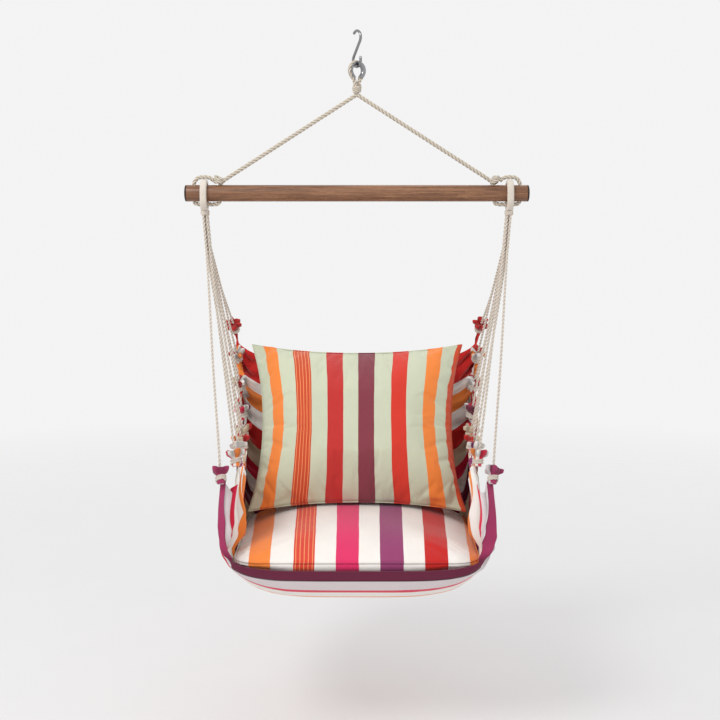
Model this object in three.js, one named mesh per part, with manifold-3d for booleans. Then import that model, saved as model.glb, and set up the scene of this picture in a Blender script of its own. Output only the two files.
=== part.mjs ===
// A hanging hammock chair: an S-hook, a rope hanger, a hardwood spreader bar, and a striped fabric
// sling on two fans of cords, with a boxed seat cushion and a throw pillow.
// Millimetres, +Z up. The origin is the inside of the hook's upper bend, where the chair hangs.
// +X is the sitter's left-to-right line as seen from the front, and the sitter faces -Y.
import * as THREE from "three";
import { mergeVertices } from "three/addons/utils/BufferGeometryUtils.js";
import Module from "manifold-3d";

const wasm = await Module();
wasm.setup();

// --- driving dimensions -------------------------------------------------------------------------
const GAP = 0.4; // between pieces that touch

const ROPE_R = 5; // hanger rope
const CORD_R = 3.2; // suspension cords
const CORD_SPREAD = 3.7; // half the spacing of the two rows in which the cords leave their eye

const HOOK_ROD_R = 3.2;
const HOOK_BEND_R = 15; // to the rod's centre
const HOOK_TURN = 215; // degrees the hook and rope eye are turned from square, seen from above
const HOOK_TIP = 32; // degrees each tip runs past the half circle

const EYE_TOP = -62; // outside of the rope eye
const THIMBLE_WALL = 1.5;
const THIMBLE_INNER_R = 12;
const THROAT_Z = -113; // where the two sides of the eye meet
const KNOT_TOP = -119;
const KNOT_BOTTOM = -137.2;
const SWAY_Z = -140; // the rope's flexing point under the knot
const BALL_R = 9;

const BAR_Z = -365;
const BAR_R = 19;
const BAR_HALF = 395;
const INNER_HOLE_X = 318;
const OUTER_HOLE_X = 378;
const HOLE_R = 7;
const CAP_LENGTH = 5;
const SPIGOT_R = 6;
const SPIGOT_LENGTH = 8;

const RING_X = 354; // whipped eye of each cord bundle
const RING_WIDTH = 15;
const RING_WALL = 12;
const RING_FIT = 0.6; // between the bar and the eye that turns on it
const RING_DROP = 12.5; // the eye's lower end hangs this far under the bar's axis, clear of the rope
const NECK_X = 346; // the neck leans in towards the seat
const NECK_BOTTOM = -488;

const TIES = 9; // on each side
const TIE_BACK = 20; // from a tie's wraps down to the fabric's edge
const WRAP_R = 11.5; // the cord wraps that bind each tie
const PUFF_R = 14; // the gathered cloth above them

const SLING_T = 4;

const CUSHION = { half: 275, front: -276, back: 180, bottom: -1270, seam: -1168, crown: 44 };
const CUSHION_LIFT = { sides: 86, ends: 82, most: 90 }; // its underside rises this far to its edges
const PILLOW = { half: 260, rise: 208, thick: 62, rim: 3, lean: 22.8, at: [0, 82, -928] };
const COVER_WALL = 2;
const COVER_GAP = 0.5;

// --- helpers ------------------------------------------------------------------------------------
const vec = (x, y, z) => new THREE.Vector3(x, y, z);
const lerp = THREE.MathUtils.lerp;
const rad = THREE.MathUtils.degToRad;

function solid(geometry) {
  const bare = geometry.clone();
  bare.deleteAttribute("normal");
  bare.deleteAttribute("uv");
  const merged = mergeVertices(bare, 1e-4);
  return new wasm.Manifold(
    new wasm.Mesh({
      numProp: 3,
      vertProperties: merged.attributes.position.array,
      triVerts: new Uint32Array(merged.index.array),
    }),
  );
}

function geometryOf(made) {
  const mesh = made.getMesh();
  const geometry = new THREE.BufferGeometry();
  geometry.setAttribute("position", new THREE.BufferAttribute(mesh.vertProperties, 3));
  geometry.setIndex(new THREE.BufferAttribute(mesh.triVerts, 1));
  geometry.computeVertexNormals();
  return geometry;
}

function box(low, high) {
  const size = high.map((h, i) => h - low[i]);
  const middle = high.map((h, i) => (h + low[i]) / 2);
  return new THREE.BoxGeometry(...size).translate(...middle);
}

function upright(radius, low, high, x, sides = 16) {
  const geometry = new THREE.CylinderGeometry(radius, radius, high - low, sides);
  return geometry.rotateX(Math.PI / 2).translate(x, 0, (low + high) / 2);
}

function disc(radius, sides) {
  const points = [];
  for (let i = 0; i < sides; i++) {
    const a = (2 * Math.PI * i) / sides;
    points.push(new THREE.Vector2(radius * Math.cos(a), radius * Math.sin(a)));
  }
  return new THREE.Shape(points);
}

function sweep(shape, path, steps) {
  return new THREE.ExtrudeGeometry(shape, { extrudePath: path, steps, curveSegments: 8 });
}

function smooth(points) {
  return new THREE.CatmullRomCurve3(points, false, "centripetal");
}

// Steps along the curve then follow its own points, so that tight bends get more of them.
function stepped(curve) {
  curve.getSpacedPoints = curve.getPoints;
  curve.getTangentAt = curve.getTangent;
  return curve;
}

// A closed skin over rings of points: the first and last rings shrink to a point.
function skin(rings) {
  const around = rings[1].length;
  const positions = [rings[0][0], ...rings.slice(1, -1).flat(), rings.at(-1)[0]];
  const last = positions.length - 1;
  const index = [];
  for (let i = 0; i < around; i++) {
    const j = (i + 1) % around;
    index.push(0, 1 + i, 1 + j);
    for (let r = 0; r < rings.length - 3; r++) {
      const a = 1 + r * around;
      const b = a + around;
      index.push(a + i, b + i, b + j, a + i, b + j, a + j);
    }
    const end = 1 + (rings.length - 3) * around;
    index.push(end + i, last, end + j);
  }
  const geometry = new THREE.BufferGeometry().setFromPoints(positions);
  geometry.setIndex(index);
  return geometry;
}

const root = new THREE.Group();
const seatGroup = new THREE.Group();
root.add(seatGroup);

function add(name, geometry, colour, roughness, metalness = 0, parent = root) {
  const material = new THREE.MeshStandardMaterial({ color: colour, roughness, metalness });
  const mesh = new THREE.Mesh(geometry, material);
  mesh.name = name;
  parent.add(mesh);
  return mesh;
}

const STEEL = 0xd9dadb;
const ROPE = 0xd8c9ae;
const WOOD = 0x7a4a2a;
const DARK = 0x1d1612;
const STRIPED = 0xe8502e;
const SAGE = 0xc9cfb4;
const FOAM = 0xf2ead2;

// --- hook, thimble and rope eye -----------------------------------------------------------------
// Points of an arc in the plane x = 0, angles in degrees from +Y towards +Z.
function arc(z, radius, from, to, count) {
  const points = [];
  for (let i = 0; i <= count; i++) {
    const a = rad(lerp(from, to, i / count));
    points.push(vec(0, radius * Math.cos(a), z + radius * Math.sin(a)));
  }
  return points;
}

const eyeRopeTop = EYE_TOP - ROPE_R; // the rope's centre at the top of the eye
const thimbleR = ROPE_R + GAP + THIMBLE_WALL; // the thimble's outside, about the rope's centre
const hookLow = eyeRopeTop - thimbleR - GAP; // inside of the hook's lower bend

function sHook() {
  const upperZ = HOOK_ROD_R - HOOK_BEND_R;
  const lowerZ = hookLow - HOOK_ROD_R + HOOK_BEND_R;
  const slant = 90 - THREE.MathUtils.radToDeg(Math.acos((2 * HOOK_BEND_R) / (upperZ - lowerZ)));
  const upper = arc(upperZ, HOOK_BEND_R, 180 - HOOK_TIP, -slant, 12);
  const lower = arc(lowerZ, HOOK_BEND_R, 180 - slant, 360 + HOOK_TIP, 12);
  return sweep(disc(HOOK_ROD_R, 8), smooth([...upper, ...lower]), 36);
}

const eyeRadius = THIMBLE_INNER_R + thimbleR;

// The eye's centreline in the plane y = 0: an arch, then sides that close in to `tail`.
function eyePath(tail) {
  const centre = eyeRopeTop - eyeRadius;
  const points = [];
  for (let i = 0; i <= 10; i++) {
    const a = rad(lerp(205, -25, i / 10));
    points.push(vec(eyeRadius * Math.cos(a), 0, centre + eyeRadius * Math.sin(a)));
  }
  const side = [vec(10, 0, THROAT_Z + 9), ...tail];
  const other = side.map((p) => vec(-p.x, 0, p.z)).reverse();
  return smooth([...other, ...points, ...side]);
}

function thimble() {
  const section = [];
  const inner = ROPE_R + GAP;
  for (let i = 0; i <= 5; i++) {
    const a = (Math.PI * i) / 5;
    section.push(new THREE.Vector2(thimbleR * Math.cos(a), thimbleR * Math.sin(a)));
  }
  for (let i = 5; i >= 0; i--) {
    const a = (Math.PI * i) / 5;
    section.push(new THREE.Vector2(inner * Math.cos(a), inner * Math.sin(a)));
  }
  return sweep(new THREE.Shape(section), eyePath([]), 20);
}

function hangerEye() {
  const tail = [vec(5.4, 0, THROAT_Z), vec(5.1, 0, KNOT_TOP - 4)];
  const rope = sweep(disc(ROPE_R, 8), eyePath(tail), 28);
  const wraps = 3;
  const pitch = (KNOT_TOP - KNOT_BOTTOM) / wraps;
  const profile = [new THREE.Vector2(0, KNOT_BOTTOM), new THREE.Vector2(9.6, KNOT_BOTTOM)];
  for (let i = 0; i < wraps; i++) {
    const z = KNOT_BOTTOM + pitch * i;
    const wide = 11 + i;
    profile.push(new THREE.Vector2(wide, z + pitch * 0.35));
    profile.push(new THREE.Vector2(wide, z + pitch * 0.7));
    profile.push(new THREE.Vector2(wide - 1, z + pitch));
  }
  profile.push(new THREE.Vector2(0, KNOT_TOP));
  const knot = new THREE.LatheGeometry(profile, 16).rotateX(Math.PI / 2);
  const socket = new THREE.SphereGeometry(BALL_R + GAP, 16, 12).translate(0, 0, SWAY_Z);
  return geometryOf(solid(rope).add(solid(knot)).subtract(solid(socket)));
}

// --- hanger legs, bar and end caps --------------------------------------------------------------
const overRing = BAR_Z + BAR_R + RING_FIT + RING_WALL + 2 * GAP + ROPE_R;
const underBar = BAR_Z - BAR_R - ROPE_R - 1.4;

// The right leg's route: from under the knot to the inner hole, down through the bar, along under
// it inside the cord eye, up through the outer hole, and over the cord eye to its hitch.
const LEG_ROUTE = [
  [0, 0, SWAY_Z],
  [60, 0, -178],
  [120, 0, -216],
  [180, 0, -254],
  [240, 0, -292],
  [298, 0, -328.7],
  [309.5, 0, -336.5],
  [316.5, 0, -345],
  [INNER_HOLE_X, 0, -356],
  [INNER_HOLE_X, 0, -380],
  [320.5, 0, -387.5],
  [329, 0, underBar],
  [348, 0, underBar],
  [367, 0, underBar],
  [375.5, 0, -387.5],
  [OUTER_HOLE_X, 0, -380],
  [OUTER_HOLE_X, 0, -350],
  [376.2, 0, -339],
  [368.5, 0, -330],
  [RING_X, 0, overRing],
  [339.5, 0, -330],
  [331, 0, -336.5],
];

function hangerLeg(side) {
  const route = LEG_ROUTE.map(([x, y, z]) => vec(side * x, y, z));
  const rope = sweep(disc(ROPE_R, 8), stepped(smooth(route)), 2 * (route.length - 1));
  const hitch = new THREE.SphereGeometry(1, 12, 8).scale(13, 12, 11.8);
  hitch.translate(side * 320, 0, BAR_Z + BAR_R + 12.4);
  const ball = new THREE.SphereGeometry(BALL_R, 16, 12).translate(0, 0, SWAY_Z);
  const reach = side * 500;
  const half = box(
    [Math.min(side * GAP * 0.5, reach), -100, -600],
    [Math.max(side * GAP * 0.5, reach), 100, 0],
  );
  return geometryOf(solid(rope).add(solid(hitch)).add(solid(ball)).intersect(solid(half)));
}

function spreaderBar() {
  const chamfer = 1.5;
  const profile = [
    [0, -BAR_HALF],
    [BAR_R - chamfer, -BAR_HALF],
    [BAR_R, -BAR_HALF + chamfer],
    [BAR_R, BAR_HALF - chamfer],
    [BAR_R - chamfer, BAR_HALF],
    [0, BAR_HALF],
  ].map(([r, x]) => new THREE.Vector2(r, x));
  const dowel = new THREE.LatheGeometry(profile, 24).rotateZ(-Math.PI / 2).translate(0, 0, BAR_Z);
  let bar = solid(dowel);
  for (const side of [-1, 1]) {
    for (const x of [INNER_HOLE_X, OUTER_HOLE_X]) {
      const hole = upright(HOLE_R, BAR_Z - 2 * BAR_R, BAR_Z + 2 * BAR_R, side * x);
      bar = bar.subtract(solid(hole));
    }
    const depth = SPIGOT_LENGTH + 1;
    const socket = new THREE.CylinderGeometry(SPIGOT_R + GAP, SPIGOT_R + GAP, 2 * depth, 16);
    socket.rotateZ(Math.PI / 2).translate(side * BAR_HALF, 0, BAR_Z);
    bar = bar.subtract(solid(socket));
  }
  return geometryOf(bar);
}

function endCap(side) {
  const profile = [
    [0, -SPIGOT_LENGTH],
    [SPIGOT_R, -SPIGOT_LENGTH],
    [SPIGOT_R, 0.3],
    [BAR_R, 0.3],
    [BAR_R, 2],
    [BAR_R - 1.6, CAP_LENGTH - 1.2],
    [BAR_R - 6, CAP_LENGTH],
    [0, CAP_LENGTH],
  ].map(([r, x]) => new THREE.Vector2(r, x));
  const cap = new THREE.LatheGeometry(profile, 20).rotateZ((-side * Math.PI) / 2);
  return cap.translate(side * BAR_HALF, 0, BAR_Z);
}

// --- cord eyes, cords and ties ------------------------------------------------------------------
// An upright slot outline in (y, z): its upper round end is centred on the bar's axis, and its
// lower one hangs under it.
function slotOutline(radius) {
  const points = [];
  for (const [centre, from] of [
    [0, 0],
    [-RING_DROP, 180],
  ]) {
    for (let i = 0; i <= 8; i++) {
      const a = rad(from + (180 * i) / 8);
      points.push(new THREE.Vector2(radius * Math.cos(a), centre + radius * Math.sin(a)));
    }
  }
  return points;
}

// The outline of the bound cords where they leave the eye, at the given height.
function neckRing(x, z, full) {
  const points = [];
  for (let i = 0; i < 16; i++) {
    const a = (2 * Math.PI * i) / 16;
    const across = full * (CORD_SPREAD + CORD_R) * Math.cos(a);
    const deep = full * (4 * CORD_SPREAD + CORD_R) * Math.sin(a);
    points.push(vec(x + across, deep, z));
  }
  return points;
}

function cordEye(side) {
  const bevel = 2.5;
  const inner = BAR_R + RING_FIT;
  const outline = new THREE.Shape(slotOutline(inner + RING_WALL - bevel));
  outline.holes.push(new THREE.Path(slotOutline(inner + bevel)));
  const settings = { depth: RING_WIDTH - 2 * bevel, bevelSize: bevel, bevelThickness: bevel };
  const ring = new THREE.ExtrudeGeometry(outline, { ...settings, bevelSegments: 2 });
  ring.translate(0, 0, bevel - RING_WIDTH / 2);
  ring.rotateX(Math.PI / 2).rotateZ(Math.PI / 2).translate(side * RING_X, 0, BAR_Z);
  const neckTop = BAR_Z - RING_DROP - inner - 3;
  const levels = [
    [RING_X, neckTop, 0],
    [RING_X, neckTop, 1],
    [RING_X - 1, neckTop - 24, 1],
    [NECK_X, NECK_BOTTOM, 1],
    [NECK_X, NECK_BOTTOM, 0],
  ];
  const neck = skin(levels.map(([x, z, full]) => neckRing(side * x, z, full)));
  return geometryOf(solid(ring).add(solid(neck)));
}

// The tied side edge, right side, from the front corner to the back corner.
const TIE_LINE = smooth([
  vec(296, -260, -982),
  vec(271, -180, -960),
  vec(270, -100, -957),
  vec(271, -20, -956),
  vec(274, 55, -945),
  vec(281, 118, -903),
  vec(291, 170, -842),
  vec(302, 218, -776),
  vec(313, 260, -705),
]);

function cordTop(k) {
  const middle = (TIES - 1) / 2;
  const row = k % 2 ? -CORD_SPREAD : CORD_SPREAD;
  return vec(NECK_X + row, (k - middle) * CORD_SPREAD, NECK_BOTTOM - CORD_R);
}

function tieAt(k) {
  const at = TIE_LINE.getPoint(k / (TIES - 1));
  const towards = cordTop(k).sub(at).normalize();
  return { at, towards };
}

function mirrored(point, side) {
  return vec(side * point.x, point.y, point.z);
}

const TIE_PROFILE = [
  [0, -TIE_BACK + 5],
  [5.5, -TIE_BACK + 5],
  [8.5, -9],
  [WRAP_R, -7.5],
  [WRAP_R, 4.5],
  [WRAP_R - 2.5, 5.5],
  [PUFF_R, 11],
  [PUFF_R - 1, 19],
  [6, 23],
  [0, 23],
];

function tie(k, side) {
  const { at, towards } = tieAt(k);
  const profile = TIE_PROFILE.map(([r, t]) => new THREE.Vector2(r, t));
  const geometry = new THREE.LatheGeometry(profile, 8);
  const turn = new THREE.Quaternion();
  turn.setFromUnitVectors(vec(0, 1, 0), mirrored(towards, side));
  const place = mirrored(at, side);
  return geometry.applyQuaternion(turn).translate(place.x, place.y, place.z);
}

function cord(k, side) {
  const { at, towards } = tieAt(k);
  const foot = at.clone().addScaledVector(towards, TIE_PROFILE.at(-1)[1] + GAP);
  const path = new THREE.LineCurve3(mirrored(cordTop(k), side), mirrored(foot, side));
  return sweep(disc(CORD_R, 8), path, 1);
}

// --- sling --------------------------------------------------------------------------------------
// The sling's middle line, front hem to back hem.
const KEEL = smooth([
  vec(0, -291, -1182),
  vec(0, -284, -1208),
  vec(0, -252, -1238),
  vec(0, -214, -1260),
  vec(0, -165, -1277),
  vec(0, -90, -1284),
  vec(0, 0, -1284),
  vec(0, 100, -1277),
  vec(0, 170, -1250),
  vec(0, 204, -1190),
  vec(0, 212, -1100),
  vec(0, 212, -1000),
  vec(0, 208, -900),
  vec(0, 204, -795),
]);
const SLING_ACROSS = 24;
const SLING_ALONG = 22;
const BULGE_X = 308;

// How square the sling's cross-section is: boxy at the front hem, rounder under the cushion, and
// slack along the back.
function squareness(v) {
  const seat = THREE.MathUtils.smoothstep(v, 0, 0.08);
  const back = THREE.MathUtils.smoothstep(v, 0.45, 0.95);
  return lerp(lerp(5.5, 4.2, seat), 2.3, back);
}

function slingPoint(u, v) {
  const { at, towards } = edgeAt(v);
  const edge = at.addScaledVector(towards, -TIE_BACK);
  const keel = KEEL.getPointAt(v);
  const power = 2 / squareness(v);
  const angle = (Math.abs(u) * Math.PI) / 2;
  const out = Math.sin(angle) ** power;
  const up = 1 - Math.max(Math.cos(angle), 0) ** power;
  const wide = Math.max(BULGE_X, edge.x);
  const x = wide * out * (1 - (1 - edge.x / wide) * up ** 1.3);
  return vec(Math.sign(u) * x, lerp(keel.y, edge.y, up), lerp(keel.z, edge.z, up));
}

function edgeAt(v) {
  const at = TIE_LINE.getPoint(v);
  const towards = vec(NECK_X, 0, NECK_BOTTOM).sub(at).normalize();
  return { at, towards };
}

// u runs faster near the corners, so that the rounded corners get enough facets.
function across(i) {
  const t = (2 * i) / SLING_ACROSS - 1;
  return Math.sign(t) * Math.abs(t) ** 0.8;
}

function slingNormal(u, v) {
  const step = 0.01;
  const du = slingPoint(Math.min(u + step, 1), v).sub(slingPoint(Math.max(u - step, -1), v));
  const dv = slingPoint(u, Math.min(v + step, 1)).sub(slingPoint(u, Math.max(v - step, 0)));
  return du.cross(dv).normalize();
}

function sling() {
  const positions = [];
  for (const face of [1, -1]) {
    for (let j = 0; j <= SLING_ALONG; j++) {
      for (let i = 0; i <= SLING_ACROSS; i++) {
        const u = across(i);
        const v = j / SLING_ALONG;
        const offset = (face * SLING_T) / 2;
        positions.push(slingPoint(u, v).addScaledVector(slingNormal(u, v), offset));
      }
    }
  }
  const row = SLING_ACROSS + 1;
  const sheet = row * (SLING_ALONG + 1);
  const index = [];
  const quad = (a, b, c, d) => index.push(a, b, c, a, c, d);
  for (let j = 0; j < SLING_ALONG; j++) {
    for (let i = 0; i < SLING_ACROSS; i++) {
      const a = j * row + i;
      quad(a, a + 1, a + row + 1, a + row);
      quad(sheet + a, sheet + a + row, sheet + a + row + 1, sheet + a + 1);
    }
  }
  for (let i = 0; i < SLING_ACROSS; i++) {
    const back = SLING_ALONG * row + i;
    quad(i, sheet + i, sheet + i + 1, i + 1);
    quad(back, back + 1, sheet + back + 1, sheet + back);
  }
  for (let j = 0; j < SLING_ALONG; j++) {
    const left = j * row;
    const right = left + SLING_ACROSS;
    quad(left, left + row, sheet + left + row, sheet + left);
    quad(right, sheet + right, sheet + right + row, right + row);
  }
  const geometry = new THREE.BufferGeometry().setFromPoints(positions);
  geometry.setIndex(index);
  return geometry;
}

// --- cushions -----------------------------------------------------------------------------------
// A rectangle of the given half sizes with rounded corners, walked round from the right-hand side.
function plan(a, b, corner, perSide) {
  const points = [];
  for (let side = 0; side < 4; side++) {
    const [along, out] = side % 2 ? [a, b] : [b, a];
    const turn = (side * Math.PI) / 2;
    const place = (o, t) => {
      const x = o * Math.cos(turn) - t * Math.sin(turn);
      const y = o * Math.sin(turn) + t * Math.cos(turn);
      points.push([x, y]);
    };
    for (let i = 0; i < perSide; i++) {
      place(out, (along - corner) * ((2 * i) / (perSide - 1) - 1));
    }
    for (let i = 1; i < 3; i++) {
      const angle = (Math.PI * i) / 6;
      const reach = corner * Math.cos(angle);
      place(out - corner + reach, along - corner + corner * Math.sin(angle));
    }
  }
  return points;
}

// How far the cushion's underside rises from its lowest point, where it lies in the sling's hollow.
function cushionLift(x, y) {
  const sides = CUSHION_LIFT.sides * Math.abs(x) ** 5.5;
  const ends = CUSHION_LIFT.ends * Math.abs(y) ** 3.5;
  return Math.min(sides + ends, CUSHION_LIFT.most);
}

// The boxed seat cushion, drawn in by `inset` all round for its inner layers.
function cushionBody(inset) {
  const a = CUSHION.half - inset;
  const b = (CUSHION.back - CUSHION.front) / 2 - inset;
  const middle = (CUSHION.back + CUSHION.front) / 2;
  const top = CUSHION.seam - inset;
  const bottom = CUSHION.bottom + inset;
  const outline = plan(a, b, 60, 6);
  const levels = [[0, top + CUSHION.crown]];
  for (const r of [0.35, 0.62, 0.82, 0.94]) {
    levels.push([r, top + CUSHION.crown * (1 - r ** 6)]);
  }
  levels.push([0.985, top], [1, top - 4]);
  const over = levels.map(([r, z]) => outline.map(([x, y]) => vec(x * r, y * r + middle, z)));
  const under = [1, 0.97, 0.9, 0.78, 0.6, 0.35, 0].map((r) =>
    outline.map(([x, y]) => {
      const z = bottom + cushionLift((x * r) / a, (y * r) / b);
      return vec(x * r, y * r + middle, z);
    }),
  );
  return skin([...over, ...under]);
}

const cushionZipZ = CUSHION.seam - 25;
const CUSHION_ZIP = { half: 170, tall: 5 };

function cushionCover() {
  const { half, tall } = CUSHION_ZIP;
  const low = [-half, CUSHION.back - 8, cushionZipZ - tall];
  const high = [half, CUSHION.back + 8, cushionZipZ + tall];
  const shell = solid(cushionBody(0)).subtract(solid(cushionBody(COVER_WALL)));
  return geometryOf(shell.subtract(solid(box(low, high))));
}

function cushionZip() {
  const half = CUSHION_ZIP.half - GAP;
  const tall = CUSHION_ZIP.tall - GAP;
  const inner = CUSHION.back - COVER_WALL;
  const tape = box([-half, inner, cushionZipZ - tall], [half, CUSHION.back, cushionZipZ + tall]);
  const pull = box(
    [half - 24, CUSHION.back - 1, cushionZipZ - 3],
    [half - 8, CUSHION.back + 2, cushionZipZ + 3],
  );
  return geometryOf(solid(tape).add(solid(pull)));
}

// The throw pillow in its own upright frame: x across, y its thickness, z its height.
function pillowBody(inset) {
  const a = PILLOW.half - 2 * inset;
  const b = PILLOW.rise - 2 * inset;
  const outline = plan(a, b, 8, 6).map(([x, z]) => [
    x * (1 - 0.1 * (1 - Math.abs(z / b) ** 3)),
    z * (1 - 0.11 * (1 - Math.abs(x / a) ** 3)),
  ]);
  const depth = (r) => (PILLOW.thick - PILLOW.rim) * (1 - r ** 2.4) ** 0.8 + PILLOW.rim - inset;
  const steps = [0.4, 0.7, 0.88, 1];
  const ring = (r, y) => outline.map(([x, z]) => vec(x * r, y, z * r));
  const front = steps.map((r) => ring(r, -depth(r)));
  const rear = steps.map((r) => ring(r, depth(r))).reverse();
  return skin([[vec(0, -depth(0), 0)], ...front, ...rear, [vec(0, depth(0), 0)]]);
}

const PILLOW_ZIP = { half: 115, deep: 2.6, from: -191, to: -177 };

function pillowCover() {
  const { half, deep, from, to } = PILLOW_ZIP;
  const shell = solid(pillowBody(0)).subtract(solid(pillowBody(COVER_WALL)));
  return geometryOf(shell.subtract(solid(box([-half, -deep, from - 8], [half, deep, to]))));
}

function pillowZip() {
  const half = PILLOW_ZIP.half - GAP;
  const deep = PILLOW_ZIP.deep - GAP;
  const tape = box([-half, -deep, PILLOW_ZIP.from], [half, deep, PILLOW_ZIP.from + 7]);
  const pull = box([half - 22, -1.5, PILLOW_ZIP.from - 3], [half - 8, 1.5, PILLOW_ZIP.from + 2]);
  return geometryOf(solid(tape).add(solid(pull)));
}

// --- assembly -----------------------------------------------------------------------------------
const turned = new THREE.Group();
turned.rotation.z = rad(HOOK_TURN);
root.add(turned);
add("s_hook", sHook(), STEEL, 0.15, 1, turned);
add("thimble", thimble(), STEEL, 0.3, 1, turned);
add("hanger_eye", hangerEye(), ROPE, 0.9, 0, turned);

add("spreader_bar", spreaderBar(), WOOD, 0.45);
for (const [word, side] of [
  ["left", -1],
  ["right", 1],
]) {
  add("hanger_leg_" + word, hangerLeg(side), ROPE, 0.9);
  add("end_cap_" + word, endCap(side), DARK, 0.5);
  add("cord_eye_" + word, cordEye(side), ROPE, 0.9);
  for (let k = 0; k < TIES; k++) {
    add("cord_" + word + "_" + (k + 1), cord(k, side), ROPE, 0.9, 0, seatGroup);
    add("tie_" + word + "_" + (k + 1), tie(k, side), STRIPED, 0.9, 0, seatGroup);
  }
}

add("sling", sling(), STRIPED, 0.9, 0, seatGroup);
add("seat_cushion_cover", cushionCover(), STRIPED, 0.9, 0, seatGroup);
add("seat_cushion_foam", cushionBody(COVER_WALL + COVER_GAP), FOAM, 0.95, 0, seatGroup);
add("seat_cushion_zip", cushionZip(), DARK, 0.5, 0, seatGroup);

const pillowGroup = new THREE.Group();
pillowGroup.position.set(...PILLOW.at);
pillowGroup.rotation.x = rad(-PILLOW.lean);
seatGroup.add(pillowGroup);
add("pillow_cover", pillowCover(), SAGE, 0.9, 0, pillowGroup);
add("pillow_fill", pillowBody(COVER_WALL + COVER_GAP), FOAM, 0.95, 0, pillowGroup);
add("pillow_zip", pillowZip(), DARK, 0.5, 0, pillowGroup);

export default root;
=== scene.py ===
"""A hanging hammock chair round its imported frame: steel hook, laid rope, hardwood bar, twisted cords,
gathered striped sling, boxed seat cushion and throw pillow. Lengths are written in millimetres, as in
the part's own drawing, and become metres where a mesh is made."""
import math

import bmesh
import bpy
import numpy as np
from mathutils import Matrix, Vector
from mathutils.kdtree import KDTree


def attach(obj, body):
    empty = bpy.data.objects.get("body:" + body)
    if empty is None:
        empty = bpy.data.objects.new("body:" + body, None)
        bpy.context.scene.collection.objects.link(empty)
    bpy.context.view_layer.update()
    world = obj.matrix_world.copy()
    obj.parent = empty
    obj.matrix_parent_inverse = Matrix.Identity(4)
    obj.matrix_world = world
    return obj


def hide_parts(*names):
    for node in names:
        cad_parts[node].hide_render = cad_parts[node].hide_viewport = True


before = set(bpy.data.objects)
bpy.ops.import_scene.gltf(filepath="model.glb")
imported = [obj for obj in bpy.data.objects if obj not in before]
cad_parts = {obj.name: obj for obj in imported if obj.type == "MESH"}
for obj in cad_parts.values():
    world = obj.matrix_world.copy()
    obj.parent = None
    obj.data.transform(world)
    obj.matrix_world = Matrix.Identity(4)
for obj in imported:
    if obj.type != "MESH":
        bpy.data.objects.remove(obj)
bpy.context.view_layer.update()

scene = bpy.context.scene
MM = 0.001
SIDES = (("left", -1), ("right", 1))

# --- dimensions shared with the frame (mm)
ROPE_R = 5
CORD_R = 3.2
CORD_SPREAD = 3.7
HOOK_ROD_R, HOOK_BEND_R, HOOK_TURN, HOOK_TIP = 3.2, 15, 215, 32
EYE_TOP, THIMBLE_WALL, THIMBLE_INNER_R, THROAT_Z = -62, 1.5, 12, -113
KNOT_TOP, KNOT_BOTTOM, SWAY_Z = -119, -137.2, -140
BAR_Z, BAR_R, BAR_HALF = -365, 19, 395
HOLE_XS, HOLE_R = (318, 378), 7
CAP_LENGTH = 5
RING_X, RING_WIDTH, RING_WALL, RING_DROP, RING_FIT = 354, 15, 12, 12.5, 0.6
NECK_X, NECK_BOTTOM = 346, -488
TIES, TIE_BACK = 9, 20
CUSHION = {"half": 275, "front": -276, "back": 180, "bottom": -1270, "seam": -1168, "crown": 44}
CUSHION_LIFT = {"sides": 86, "ends": 82, "most": 90}
PILLOW = {"half": 260, "rise": 208, "lean": 22.8, "at": (0, 82, -928)}

LEG_ROUTE = [
    (0, 0, -140), (60, 0, -178), (120, 0, -216), (180, 0, -254), (240, 0, -292), (298, 0, -328.7),
    (309.5, 0, -336.5), (316.5, 0, -345), (318, 0, -356), (318, 0, -380), (320.5, 0, -387.5),
    (329, 0, -390.4), (348, 0, -390.4), (367, 0, -390.4), (375.5, 0, -387.5), (378, 0, -380),
    (378, 0, -350), (376.2, 0, -339), (368.5, 0, -330), (354, 0, -327.6), (339.5, 0, -330), (331, 0, -336.5),
]
TIE_LINE = [
    (296, -260, -982), (271, -180, -960), (270, -100, -957), (271, -20, -956), (274, 55, -945),
    (281, 118, -903), (291, 170, -842), (302, 218, -776), (313, 260, -705),
]
KEEL = [
    (0, -291, -1182), (0, -284, -1208), (0, -252, -1238), (0, -214, -1260), (0, -165, -1277), (0, -90, -1284),
    (0, 0, -1284), (0, 100, -1277), (0, 170, -1250), (0, 204, -1190), (0, 212, -1100), (0, 212, -1000),
    (0, 208, -900), (0, 204, -795),
]
BULGE_X = 308

# --- other dimensions (mm, degrees)
CAMERA_AT, CAMERA_DOWN, CAMERA_LENS = (7.1, -2978, -389), 7, 63.65
FLOOR_BELOW_SEAT, FLOOR_REACH = 330, 6000
ROPE_LAY, CORD_LAY = 30, 19
HEM = 24
SLING_HALF_WIDTH = 560
SLING_THICK = 1.4
CUSHION_CORNER, CUSHION_STEP = 56, 6
CUSHION_FULLER, CUSHION_STRETCH = 13, 0.05
PILLOW_DEPTH = 50
SEAT_ZIP_HALF, PILLOW_ZIP_HALF = 170, 115


# --- curves
def unit(a):
    return a / np.linalg.norm(a, axis=-1, keepdims=True)


def smoothstep(x, low, high):
    t = np.clip((x - low) / (high - low), 0, 1)
    return t * t * (3 - 2 * t)


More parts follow.
